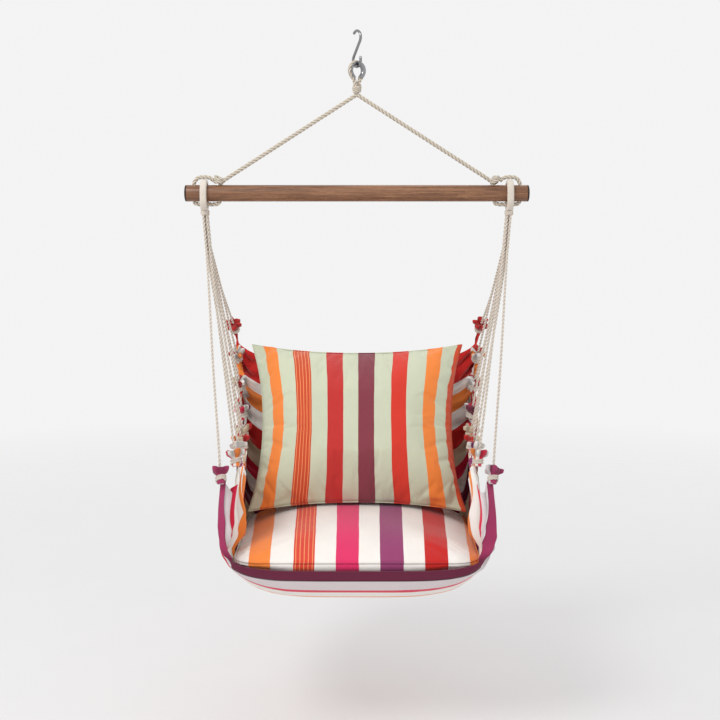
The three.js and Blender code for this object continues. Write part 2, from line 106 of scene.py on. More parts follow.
def catmull(points, t):
    """Centripetal Catmull-Rom through the points, at t from 0 to 1 over the points."""
    p = np.asarray(points, float)
    ends = np.vstack([2 * p[0] - p[1], p, 2 * p[-1] - p[-2]])
    s = np.clip(np.atleast_1d(np.asarray(t, float)), 0, 1) * (len(p) - 1)
    i = np.minimum(s.astype(int), len(p) - 2)
    w = (s - i)[..., None]
    a, b, c, d = ends[i], ends[i + 1], ends[i + 2], ends[i + 3]
    before, here, after = (
        np.sum((n - m) ** 2, -1, keepdims=True) ** 0.25 for m, n in ((a, b), (b, c), (c, d))
    )
    leave = ((b - a) / before - (c - a) / (before + here) + (c - b) / here) * here
    reach = ((c - b) / here - (d - b) / (here + after) + (d - c) / after) * here
    return b + leave * w + (3 * (c - b) - 2 * leave - reach) * w**2 + (2 * (b - c) + leave + reach) * w**3


def lengths(path):
    return np.concatenate([[0], np.cumsum(np.linalg.norm(np.diff(path, axis=0), axis=1))])


def at_length(path, s):
    run = lengths(path)
    return np.stack([np.interp(s, run, path[:, i]) for i in range(3)], -1)


def evenly(path, step):
    """The path again, with points about `step` apart."""
    total = lengths(path)[-1]
    return at_length(path, np.linspace(0, total, max(3, int(round(total / step)) + 1)))


def smooth_path(points, step):
    return evenly(catmull(points, np.linspace(0, 1, 60 * len(points))), step)


def frames_along(path, closed=False):
    """Tangent and two cross directions at each point, turning as little as they can."""
    tangent = np.gradient(path, axis=0)
    if closed:
        tangent = np.roll(path, -1, 0) - np.roll(path, 1, 0)
    tangent = unit(tangent)
    start = np.array([0.0, 1.0, 0.0]) if abs(tangent[0][1]) < 0.9 else np.array([1.0, 0.0, 0.0])
    normal = np.zeros_like(path)
    for i, t in enumerate(tangent):
        start = start - t * (start @ t)
        start = start / np.linalg.norm(start)
        normal[i] = start
    return tangent, normal, np.cross(tangent, normal)


# --- meshes
def make_mesh(name, points, faces, material=None):
    mesh = bpy.data.meshes.new(name)
    mesh.from_pydata((np.asarray(points, float) * MM).tolist(), [], [tuple(map(int, f)) for f in faces])
    mesh.update()
    mesh.shade_smooth()
    piece = bpy.data.objects.new(name, mesh)
    scene.collection.objects.link(piece)
    if material:
        mesh.materials.append(material)
    return piece


def put_attribute(piece, name, values, kind="FLOAT_VECTOR", domain="POINT"):
    attribute = piece.data.attributes.new(name, kind, domain)
    field = {"FLOAT_VECTOR": "vector", "FLOAT": "value"}[kind]
    attribute.data.foreach_set(field, np.asarray(values, np.float32).ravel())


def grid_faces(rows, columns, wrap_columns=False, wrap_rows=False):
    r = np.arange(rows if wrap_rows else rows - 1)
    c = np.arange(columns if wrap_columns else columns - 1)
    r, c = (a.ravel() for a in np.meshgrid(r, c, indexing="ij"))
    r2, c2 = (r + 1) % rows, (c + 1) % columns
    return np.stack([r * columns + c, r * columns + c2, r2 * columns + c2, r2 * columns + c], 1)


def tube_faces(rings, sides, closed=False, flip=False):
    """The faces of a tube of equal rings, with its two ends unless it closes on itself."""
    faces = grid_faces(rings, sides, wrap_columns=True, wrap_rows=closed).tolist()
    if not closed:
        faces += [list(range(sides))[::-1], [(rings - 1) * sides + i for i in range(sides)]]
    return [face[::-1] for face in faces] if flip else faces


def sweep(name, path, sections, material, closed=False):
    """A tube along the path. `sections` is (points, sides, 2): each ring's offsets across the path."""
    _, across, up = frames_along(path, closed)
    rings = path[:, None] + sections[..., :1] * across[:, None] + sections[..., 1:] * up[:, None]
    faces = tube_faces(*sections.shape[:2], closed=closed, flip=True)
    return make_mesh(name, rings.reshape(-1, 3), faces, material)


def round_section(count, radius, sides=16):
    a = 2 * np.pi * np.arange(sides) / sides
    ring = np.stack([np.cos(a), np.sin(a)], -1)
    return np.broadcast_to(ring, (count, sides, 2)) * np.reshape(radius, (-1, 1, 1))


def laid_rope(name, path, radius, lay, strands, material, per_strand=8, taper=0.0):
    """A rope of twisted strands along an even path, with its yarn coordinates for the material."""
    run = lengths(path)
    sides = per_strand * strands
    base = 2 * np.pi * np.arange(sides) / sides
    off_axis = np.abs((strands * base + np.pi) % (2 * np.pi) - np.pi) / strands
    out, strand_r = (0.47, 0.53) if strands > 2 else (0.45, 0.55)
    reach = out * np.cos(off_axis) + np.sqrt(strand_r**2 - (out * np.sin(off_axis)) ** 2)
    size = np.full(len(path), float(radius))
    if taper:
        size *= np.clip(np.minimum(run, run[-1] - run) / taper, 0.25, 1) ** 0.5
    turn = base[None] + 2 * np.pi * run[:, None] / lay
    rho = reach[None] * size[:, None]
    sections = np.stack([rho * np.cos(turn), rho * np.sin(turn)], -1)
    rope = sweep(name, path, sections, material)
    along = np.broadcast_to(run[:, None], turn.shape)
    put_attribute(rope, "yarn", np.stack([sections[..., 0], sections[..., 1], along], -1) * MM)
    # crown: 0 in the grooves between strands, 1 on their tops; the rope material paints shade into the
    # grooves from it
    crown = (reach - reach.min()) / (reach.max() - reach.min())
    put_attribute(rope, "crown", np.broadcast_to(crown, turn.shape), "FLOAT")
    return rope


def lathe(name, profile, material, sides=48):
    """Radius and height pairs turned about the Z axis."""
    a = 2 * np.pi * np.arange(sides) / sides
    rings = [[(r * math.cos(t), r * math.sin(t), z) for t in a] for r, z in profile]
    points = np.array(rings).reshape(-1, 3)
    piece = make_mesh(name, points, tube_faces(len(profile), sides), material)
    piece.data.set_sharp_from_angle(angle=math.radians(40))
    return piece


def shift(x=0.0, y=0.0, z=0.0):
    """A move, in millimetres."""
    return Matrix.Translation((x * MM, y * MM, z * MM))


def turn_about(axis, degrees):
    return Matrix.Rotation(math.radians(degrees), 4, axis)


def apply_modifiers(piece):
    depsgraph = bpy.context.evaluated_depsgraph_get()
    made = bpy.data.meshes.new_from_object(piece.evaluated_get(depsgraph))
    piece.modifiers.clear()
    piece.data = made


def place(piece, matrix):
    piece.data.transform(matrix)
    piece.data.update()
    return piece


def finish_piece(piece, body, slot, *nodes):
    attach(piece, body)
    if nodes:
        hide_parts(*nodes)
    return piece


# --- materials
class Nodes:
    """A material with short calls for its nodes."""

    def __init__(self, name, **settings):
        self.material = bpy.data.materials.new(name)
        self.material.use_nodes = True
        self.tree = self.material.node_tree
        self.shader = self.tree.nodes["Principled BSDF"]
        for key, value in settings.items():
            self.shader.inputs[key.replace("_", " ").capitalize()].default_value = value

    def link(self, source, target):
        self.tree.links.new(source, target)

    def node(self, kind, inputs=(), **settings):
        made = self.tree.nodes.new("ShaderNode" + kind)
        for key, value in settings.items():
            setattr(made, key, value)
        for key, value in dict(inputs).items():
            if isinstance(value, bpy.types.NodeSocket):
                self.link(value, made.inputs[key])
            else:
                made.inputs[key].default_value = value
        return made

    def attribute(self, name):
        return self.node("Attribute", attribute_name=name)

    def math(self, operation, a, b=0.0):
        return self.node("Math", {0: a, 1: b}, operation=operation).outputs[0]

    def scaled(self, vector, scale):
        return self.node("Mapping", {"Vector": vector, "Scale": scale}).outputs[0]

    def noise(self, vector, scale=1.0, detail=3.0, roughness=0.55):
        inputs = {"Vector": vector, "Scale": scale, "Detail": detail, "Roughness": roughness}
        return self.node("TexNoise", inputs).outputs["Fac"]

    def mix(self, factor, a, b, blend_type="MIX"):
        made = self.node("Mix", data_type="RGBA", blend_type=blend_type)
        for index, value in ((0, factor), (6, a), (7, b)):
            if isinstance(value, bpy.types.NodeSocket):
                self.link(value, made.inputs[index])
            else:
                made.inputs[index].default_value = value
        return made.outputs[2]

    def ramp(self, factor, stops):
        made = self.node("ValToRGB", {"Fac": factor})
        elements = made.color_ramp.elements
        while len(elements) < len(stops):
            elements.new(0.5)
        for element, (position, colour) in zip(elements, stops):
            element.position = position
            element.color = colour
        return made.outputs["Color"]

    def colour(self, socket):
        self.link(socket, self.shader.inputs["Base Color"])

    def roughness(self, socket):
        self.link(socket, self.shader.inputs["Roughness"])

    def bump(self, *heights):
        """Each height is (socket, strength, distance in metres)."""
        normal = None
        for height, strength, distance in heights:
            made = self.node("Bump", {"Height": height, "Strength": strength, "Distance": distance})
            if normal:
                self.link(normal, made.inputs["Normal"])
            normal = made.outputs["Normal"]
        self.link(normal, self.shader.inputs["Normal"])


def srgb(r, g, b):
    """A screen colour, 0 to 255, as the linear colour that a material takes."""
    shares = [c / 255 for c in (r, g, b)]
    return (*(c / 12.92 if c <= 0.04045 else ((c + 0.055) / 1.055) ** 2.4 for c in shares), 1.0)


def scaled_colour(colour, factor, lift=0.0):
    return (*(min(1, c * factor + lift) for c in colour[:3]), 1)


def rope_material(name, light, groove_shade_and_patch):
    m = Nodes(name, roughness=0.88)
    m.shader.inputs["Sheen Weight"].default_value = 0.25
    yarn = m.attribute("yarn").outputs["Vector"]
    crown = m.attribute("crown").outputs["Fac"]
    fibre = m.noise(m.scaled(yarn, (1500, 1500, 260)), 1, 3)
    patch = m.noise(yarn, 38, 2)
    # painted shade: the yarn colour darkens towards the grooves between strands (low crown), and fibre noise
    # varies it at random
    tone = m.math("ADD", m.math("MULTIPLY", crown, 0.62), m.math("MULTIPLY", fibre, 0.5))
    colour = m.ramp(tone, [(0.12, groove_shade_and_patch), (0.72, light)])
    # darker patches at random: a real tone of the yarn
    m.colour(m.mix(m.math("MULTIPLY", patch, 0.3), colour, scaled_colour(groove_shade_and_patch, 0.72)))
    m.bump((fibre, 0.7, 0.0006))
    return m.material


def steel_material(name, tint, rough):
    m = Nodes(name, metallic=1.0)
    place_of = m.node("TexCoord").outputs["Object"]
    scratch = m.noise(m.scaled(place_of, (900, 900, 120)), 1, 3)
    cloud = m.noise(place_of, 90, 2)
    m.colour(m.mix(m.math("MULTIPLY", cloud, 0.35), tint, scaled_colour(tint, 0.6)))
    m.roughness(m.math("ADD", m.math("MULTIPLY", cloud, 0.12), rough))
    m.bump((scratch, 0.12, 0.0002))
    return m.material


def wood_material():
    m = Nodes("oiled_hardwood")
    m.shader.inputs["Coat Weight"].default_value = 0.12
    m.shader.inputs["Coat Roughness"].default_value = 0.35
    place_of = m.node("TexCoord").outputs["Object"]
    wander = m.noise(m.scaled(place_of, (3, 20, 20)), 1, 2)
    grain = m.noise(m.scaled(place_of, (9, 210, 210)), 1, 5, 0.65)
    pores = m.noise(m.scaled(place_of, (55, 1300, 1300)), 1, 2)
    figure = m.math("ADD", m.math("MULTIPLY", grain, 0.75), m.math("MULTIPLY", wander, 0.35))
    browns = [(66, 40, 24), (108, 70, 44), (136, 92, 62), (170, 124, 88)]
    colour = m.ramp(figure, list(zip((0.30, 0.46, 0.58, 0.75), (srgb(*brown) for brown in browns))))
    fleck = m.ramp(pores, [(0.36, (0.35, 0.3, 0.28, 1)), (0.48, (1, 1, 1, 1))])
    m.colour(m.mix(0.7, colour, fleck, "MULTIPLY"))
    m.roughness(m.math("ADD", m.math("MULTIPLY", grain, 0.25), 0.32))
    m.bump((grain, 0.25, 0.0006), (pores, 0.35, 0.0002))
    return m.material


def plain_material(name, colour, rough, grain_scale=700):
    m = Nodes(name)
    place_of = m.node("TexCoord").outputs["Object"]
    grain = m.noise(place_of, grain_scale, 2)
    wear = m.noise(place_of, 45, 3)
    m.colour(m.mix(m.math("MULTIPLY", wear, 0.4), colour, scaled_colour(colour, 1.5, 0.01)))
    m.roughness(m.math("ADD", m.math("MULTIPLY", wear, 0.2), rough))
    m.bump((grain, 0.25, 0.0003))
    return m.material


def cloth_material(name, stripes, start, pins=(), thread=0.0011):
    """Plain-weave cloth. `stripes` are (width in mm, colour) laid one after another from `start` mm along
    the second number of the piece's "flat" attribute, and the first and last run on. Each of `pins` is a
    set of fine lines: (from, width, count, colour). "shade" is painted shade on seams, folds and the front
    hem."""
    m = Nodes(name, roughness=0.82)
    m.shader.inputs["Sheen Weight"].default_value = 0.3
    m.shader.inputs["Sheen Roughness"].default_value = 0.45
    m.shader.inputs["Specular IOR Level"].default_value = 0.25
    flat = m.attribute("flat").outputs["Vector"]
    axes = m.node("SeparateXYZ", {"Vector": flat})
    wander = m.math("MULTIPLY", m.math("SUBTRACT", m.noise(flat, 9, 2), 0.5), 0.004)
    along = m.math("ADD", axes.outputs["Y"], wander)
    colour, edge = None, start
    for width, tint in stripes:
        if colour is None:
            colour = tint
        else:
            colour = m.mix(m.math("GREATER_THAN", along, edge * MM), colour, tint)
        edge += width
    for low, width, count, tint in pins:
        share = m.math("DIVIDE", m.math("SUBTRACT", along, low * MM), width * MM)
        line = m.math("FRACT", m.math("MULTIPLY", share, count))
        fine = m.math("LESS_THAN", m.math("ABSOLUTE", m.math("SUBTRACT", line, 0.5)), 0.11)
        within = m.math("LESS_THAN", m.math("ABSOLUTE", m.math("SUBTRACT", share, 0.5)), 0.5)
        colour = m.mix(m.math("MULTIPLY", fine, within), colour, tint)
    warp = m.math("SINE", m.math("MULTIPLY", axes.outputs["Y"], 2 * math.pi / thread))
    weft = m.math("SINE", m.math("MULTIPLY", axes.outputs["X"], 2 * math.pi / thread))
    weave = m.math("MULTIPLY", warp, weft)
    slub = m.noise(m.scaled(flat, (30, 900, 1)), 1, 2)
    fade = m.noise(flat, 14, 3)
    tone = m.math("ADD", m.math("MULTIPLY", slub, 0.12), m.math("MULTIPLY", fade, 0.14))
    tone = m.math("ADD", tone, m.math("MULTIPLY", weave, 0.03))
    tone = m.math("ADD", tone, 0.86)
    # painted shade: the "shade" attribute darkens the cloth's colour
    shade = m.attribute("shade").outputs["Fac"]
    tone = m.math("MULTIPLY", tone, m.math("SUBTRACT", 1.0, shade))
    grey = m.node("CombineXYZ", {0: tone, 1: tone, 2: tone}).outputs[0]
    m.colour(m.mix(1.0, colour, grey, "MULTIPLY"))
    crease = m.noise(flat, 26, 4)
    m.bump((crease, 0.35, 0.003), (weave, 0.4, 0.00025))
    return m.material


WHITE = srgb(243, 238, 232)
# painted shade: the white yarn as it looks in shade
WHITE_IN_SHADE = srgb(226, 206, 178)
ORANGE = srgb(246, 138, 62)
RED = srgb(200, 34, 30)
CORAL = srgb(222, 70, 52)
CRIMSON = srgb(222, 36, 72)
PINK = srgb(226, 48, 104)
PURPLE = srgb(150, 62, 110)
# painted shade: the purple yarn as it looks in shade
PURPLE_IN_SHADE = srgb(124, 36, 66)
MAGENTA = srgb(166, 52, 96)
# painted shade: the white yarn greyed as it looks in shade under the belly
WHITE_IN_BELLY_SHADE = srgb(222, 210, 212)
SAGE = srgb(205, 210, 184)
BROWN = srgb(134, 60, 72)
RUST = srgb(206, 78, 44)
BRICK = srgb(196, 52, 48)
TOMATO = srgb(216, 58, 42)
PIN = srgb(238, 150, 100)
GREY = srgb(150, 148, 146)


# the second colour of each is painted shade for the grooves between strands, and the base of the darker
# patches
ROPE = rope_material("cotton_rope", srgb(214, 204, 188), srgb(138, 122, 104))
CORD = rope_material("cotton_cord", srgb(222, 212, 200), srgb(176, 161, 145))
STEEL = steel_material("zinc_steel", (0.30, 0.30, 0.31, 1), 0.16)
PRESSED = steel_material("pressed_steel", (0.34, 0.34, 0.35, 1), 0.24)
WOOD = wood_material()
CAP = plain_material("cap_plastic", srgb(38, 28, 24), 0.42)
ZIP = plain_material("zip_nylon", srgb(206, 200, 188), 0.45)
FOAM = plain_material("open_cell_foam", srgb(238, 226, 190), 0.9, 350)
FIBRE = plain_material("fibre_fill", srgb(238, 238, 234), 0.95, 120)


# --- camera, floor and light
def add_camera():
    data = bpy.data.cameras.new("camera")
    data.lens = CAMERA_LENS
    data.sensor_width = 36
    camera = bpy.data.objects.new("camera", data)
    camera.location = Vector(CAMERA_AT) * MM
    camera.rotation_euler = (math.radians(90 - CAMERA_DOWN), 0, 0)
    scene.collection.objects.link(camera)
    scene.camera = camera


def add_light(name, place_at, target, size, watts):
    data = bpy.data.lights.new(name, "AREA")
    data.shape = "DISK"
    data.size = size
    data.energy = watts
    light = bpy.data.objects.new(name, data)
    light.location = place_at
    direction = Vector(target) - Vector(place_at)
    light.rotation_euler = direction.to_track_quat("-Z", "Y").to_euler()
    scene.collection.objects.link(light)


def add_studio():
    scene.view_settings.view_transform = "Standard"
    world = bpy.data.worlds.new("studio")
    world.use_nodes = True
    world.node_tree.nodes["Background"].inputs["Color"].default_value = (1.0, 1.0, 1.0, 1)
    world.node_tree.nodes["Background"].inputs["Strength"].default_value = 0.9
    scene.world = world
    m = Nodes("pale_floor", roughness=0.9)
    m.shader.inputs["Specular IOR Level"].default_value = 0.1
    place_of = m.node("TexCoord").outputs["Object"]
    m.colour(m.ramp(m.noise(place_of, 3), [(0, (0.74, 0.74, 0.74, 1)), (1, (0.77, 0.77, 0.77, 1))]))
    away = m.node("VectorMath", {0: place_of}, operation="LENGTH").outputs["Value"]
    fade = m.node("MapRange", {"Value": away, "From Min": 1.4, "From Max": 4.5, "To Min": 1.0, "To Max": 0.0})
    m.link(fade.outputs["Result"], m.shader.inputs["Alpha"])
    floor_z = CUSHION["bottom"] - FLOOR_BELOW_SEAT
    corners = [(x * FLOOR_REACH, y * FLOOR_REACH, floor_z) for x, y in ((-1, -1), (1, -1), (1, 1), (-1, 1))]
    floor = make_mesh("floor", corners, [(0, 1, 2, 3)], m.material)
    add_light("key", (-1.5, -1.9, 1.5), (0, 0, -0.9), 1.2, 40)
    add_light("back", (0.6, 2.4, 1.4), (0, 0, -0.8), 1.8, 8)


# --- hook, thimble, rope eye and knot
TURN = turn_about("Z", HOOK_TURN)
THIMBLE_R = ROPE_R + 0.4 + THIMBLE_WALL
EYE_ROPE_TOP = EYE_TOP - ROPE_R
EYE_R = THIMBLE_INNER_R + THIMBLE_R


def arc(z, radius, start, end, count=24):
    """Points of an arc in the plane x = 0, angles in degrees from +Y towards +Z."""
    a = np.radians(np.linspace(start, end, count + 1))
    return [(0, radius * math.cos(t), z + radius * math.sin(t)) for t in a]


def eye_path(tail):
    centre = EYE_ROPE_TOP - EYE_R
    a = np.radians(np.linspace(205, -25, 11))
    arch = [(EYE_R * math.cos(t), 0, centre + EYE_R * math.sin(t)) for t in a]
    side = [(10, 0, THROAT_Z + 9), *tail]
    other = [(-x, y, z) for x, y, z in side][::-1]
    return smooth_path([*other, *arch, *side], 1.6)


def add_hook():
    hook_low = EYE_ROPE_TOP - THIMBLE_R - 0.4
    upper_z = HOOK_ROD_R - HOOK_BEND_R
    lower_z = hook_low - HOOK_ROD_R + HOOK_BEND_R
    slant = 90 - math.degrees(math.acos(2 * HOOK_BEND_R / (upper_z - lower_z)))
    upper = arc(upper_z, HOOK_BEND_R, 180 - HOOK_TIP, -slant)
    lower = arc(lower_z, HOOK_BEND_R, 180 - slant, 360 + HOOK_TIP)
    path = smooth_path([*upper, *lower], 0.8)
    run = lengths(path)
    from_end = np.minimum(run, run[-1] - run)
    radius = HOOK_ROD_R * np.sqrt(1 - np.clip(1 - from_end / HOOK_ROD_R, 0, 0.97) ** 2)
    rod = sweep("hook_rod", path, round_section(len(path), radius, 28), STEEL)
    place(rod, TURN)
    finish_piece(rod, "hook", "polished_steel", "s_hook")


def add_thimble():
    path = eye_path([])
    tangent, _, _ = frames_along(path)
    lateral = np.array([0.0, 1.0, 0.0])
    inward = unit(np.cross(tangent, lateral))
    inward *= -np.sign(np.sum(inward * (path - path.mean(0)), 1, keepdims=True))
    groove = ROPE_R + 0.35
    outer = [(THIMBLE_R, a) for a in np.radians(np.linspace(-14, 194, 25))]
    inner = [(groove, a) for a in np.radians(np.linspace(194, -14, 25))]
    ring = [(r * math.cos(a), r * math.sin(a)) for r, a in outer + inner]
    rings = np.array([[p + lateral * c + i * s for c, s in ring] for p, i in zip(path, inward)])
    shell = make_mesh("thimble_shell", rings.reshape(-1, 3), tube_faces(*rings.shape[:2]), PRESSED)
    fix_normals(shell)
    shell.data.set_sharp_from_angle(angle=math.radians(50))
    place(shell, TURN)
    finish_piece(shell, "rope_eye", "thimble_steel", "thimble")


def fix_normals(piece):
    bm = bmesh.new()
    bm.from_mesh(piece.data)
    bmesh.ops.recalc_face_normals(bm, faces=bm.faces)
    bm.to_mesh(piece.data)
    bm.free()


def coil(turns, radius_at, z_from, z_to, step=1.2, squash=1.0, start=0.0):
    """A helix about the Z axis: its radius may change with the share of the way along."""
    w = np.linspace(0, 1, 400)
    a = start + 2 * np.pi * turns * w
    r = np.array([radius_at(x) for x in w])
    z = z_from + (z_to - z_from) * w
    return evenly(np.stack([r * np.cos(a), r * squash * np.sin(a), z], 1), step)


def add_rope_eye():
    path = eye_path([(5.4, 0, THROAT_Z), (5.1, 0, KNOT_TOP - 6)])
    eye = laid_rope("eye_rope", path, ROPE_R, ROPE_LAY, 3, ROPE)
    place(eye, TURN)
    finish_piece(eye, "rope_eye", "hanger_rope", "hanger_eye")
    wraps = coil(3.1, lambda w: 8.6 - 2.6 * w, KNOT_TOP - 2.5, KNOT_BOTTOM + 2.2)
    wraps[:, 2] += 0.22 * wraps[:, 0]
    knot = laid_rope("eye_knot", wraps, 3.6, 22, 3, ROPE, taper=4)
    finish_piece(knot, "rope_eye", "hanger_rope")
    profile = [(4.5, KNOT_BOTTOM), (7, KNOT_BOTTOM + 5), (7, KNOT_TOP), (4, KNOT_TOP + 3)]
    core = lathe("eye_knot_core", profile, ROPE)
    finish_piece(core, "rope_eye", "hanger_rope")


# --- hanger legs, bar and caps
def add_leg(word, side):
    route = [(side * x, y, z) for x, y, z in LEG_ROUTE]
    path = smooth_path(route, 1.9)
    leg = laid_rope("leg_rope_" + word, path, ROPE_R, ROPE_LAY, 3, ROPE)
    finish_piece(leg, "spreader", "hanger_rope", "hanger_leg_" + word)
    top = BAR_Z + BAR_R
    start = 0.6 if side > 0 else math.pi - 0.6
    wraps = coil(2.3, lambda w: 8.2 - 1.2 * w, top + 4.5, top + 19, start=start)
    wraps[:, 2] += side * 0.25 * wraps[:, 0]
    wraps[:, 0] += side * 320
    hitch = laid_rope("hitch_" + word, wraps, 4.3, 26, 3, ROPE, taper=5)
    finish_piece(hitch, "spreader", "hanger_rope")


def cut(piece, cutters):
    for cutter in cutters:
        boolean = piece.modifiers.new("cut", "BOOLEAN")
        boolean.operation = "DIFFERENCE"
        boolean.solver = "EXACT"
        boolean.object = cutter
    apply_modifiers(piece)
    for cutter in cutters:
        bpy.data.objects.remove(cutter)
    piece.data.set_sharp_from_angle(angle=math.radians(35))


def add_bar():
    edge = 1.6
    quarter = np.radians(np.linspace(0, 90, 5))
    bend = [(BAR_R - edge + edge * math.sin(a), BAR_HALF - edge + edge * math.cos(a)) for a in quarter]
    end = [(0.4, BAR_HALF), *bend]
    length = [(BAR_R, z) for z in np.linspace(-BAR_HALF, BAR_HALF, 21)[1:-1]]
    bar = lathe("bar_dowel", [*((r, -z) for r, z in end), *length, *end[::-1]], WOOD, 96)
    place(bar, shift(z=BAR_Z) @ turn_about("Y", 90))
    flared = [(HOLE_R + 1.6, -21), (HOLE_R, -17.5), (HOLE_R, 17.5), (HOLE_R + 1.6, 21)]
    cutters = []
    for _, side in SIDES:
        for x in HOLE_XS:
            cutter = lathe("cutter", flared, None, 32)
            cutters.append(place(cutter, shift(side * x, 0, BAR_Z)))
    cut(bar, cutters)
    finish_piece(bar, "spreader", "hardwood", "spreader_bar")
    rim = 1.4
    rise = np.radians(np.linspace(0, 86, 12))
    dome = [(BAR_R * math.cos(a), rim + (CAP_LENGTH - rim) * math.sin(a) ** 0.8) for a in rise]
    skirt = [(BAR_R - 0.6, 0.25), (BAR_R + 0.15, 0.6), (BAR_R + 0.1, 1.3)]
    for word, side in SIDES:
        cap = lathe("cap_" + word, [*skirt, *dome], CAP, 64)
        place(cap, shift(side * BAR_HALF, 0, BAR_Z) @ turn_about("Y", side * 90))
        finish_piece(cap, "spreader", "end_cap", "end_cap_" + word)


# --- cord eyes, cords and ties
def ring_path(radius, step):
    top = arc(0, radius, 0, 180, 89)
    low = arc(-RING_DROP, radius, 180, 360, 89)
    return evenly(np.array(top + low + top[:1]), step)[:-1]


def add_cord_eye(word, side):
    radius = BAR_R + RING_FIT + RING_WALL / 2
    path = ring_path(radius, 0.42)
    run = lengths(np.vstack([path, path[:1]]))[:-1]
    a = 2 * np.pi * np.arange(28) / 28
    blunt, thread, relief = 0.62, 1.9, 0.035
    wave = np.stack([np.sin(a), np.cos(a)], -1)
    ring = np.sign(wave) * np.abs(wave) ** blunt * [RING_WALL / 2, RING_WIDTH / 2]
    ridge = np.abs(np.sin(np.pi * run / thread))
    sections = ring[None] * (1 + relief * ridge[:, None, None])
    tangent = unit(np.roll(path, -1, 0) - np.roll(path, 1, 0))
    lateral = np.array([1.0, 0.0, 0.0])
    across = np.cross(tangent, lateral)
    rings = path[:, None] + sections[..., :1] * across[:, None] + sections[..., 1:] * lateral
    faces = tube_faces(len(path), len(a), closed=True)
    eye = make_mesh("cord_ring_" + word, rings.reshape(-1, 3), faces, CORD)
    fix_normals(eye)
    yarn = [sections[..., 0], np.broadcast_to(run[:, None], sections.shape[:2]), sections[..., 1]]
    put_attribute(eye, "yarn", np.stack(yarn, -1) * MM)
    # crown from the thread ridges: the rope material paints shade into the hollows between them
    crown = np.broadcast_to(0.65 + 0.35 * ridge[:, None], sections.shape[:2])
    put_attribute(eye, "crown", crown, "FLOAT")
    place(eye, shift(side * RING_X, 0, BAR_Z))
    finish_piece(eye, "seat", "cotton_cord", "cord_eye_" + word)
    low = BAR_Z - RING_DROP - BAR_R - RING_FIT - RING_WALL
    wraps = coil(3.2, lambda w: 8.4, low + 3, low - 5, squash=17.5 / 8.4)
    wraps[:, 0] += side * (RING_X - 1)
    wrap = laid_rope("cord_ring_wrap_" + word, wraps, 1.9, 12, 3, CORD, taper=3)
    finish_piece(wrap, "seat", "cotton_cord")


def mirrored(point, side):
    return np.asarray(point) * np.array([side, 1, 1])


def cord_top(k):
    row = -CORD_SPREAD if k % 2 else CORD_SPREAD
    return np.array([NECK_X + row, (k - (TIES - 1) / 2) * CORD_SPREAD, NECK_BOTTOM - CORD_R])


def tie_at(k):
    at = catmull(TIE_LINE, k / (TIES - 1))[0]
    return at, unit(cord_top(k) - at)


def add_cord(word, side, k, rng):
    at, towards = tie_at(k)
    top, foot = cord_top(k), at + towards * 22
    start = np.array([top[0] + RING_X - NECK_X - 1, top[1], BAR_Z - RING_DROP - BAR_R - 4])
    upper = start + (top - start) * np.linspace(0, 0.8, 4)[:, None]
    sway = rng.uniform(0.6, 1.5, 2)
    phase = rng.uniform(0, 2 * np.pi, 2)
    w = np.linspace(0, 1, 40)
    line = top + (foot - top) * w[:, None]
    envelope = np.sin(np.pi * w)
    line[:, 0] += sway[0] * envelope * np.sin(5 * w + phase[0])
    line[:, 1] += sway[1] * envelope * np.sin(7 * w + phase[1])
    points = np.vstack([upper, line])
    path = smooth_path(mirrored(points, side), 1.3)
    cord = laid_rope(f"strand_{word}_{k + 1}", path, CORD_R, CORD_LAY, 2, CORD, per_strand=7)
    finish_piece(cord, "seat", "cotton_cord", f"cord_{word}_{k + 1}")


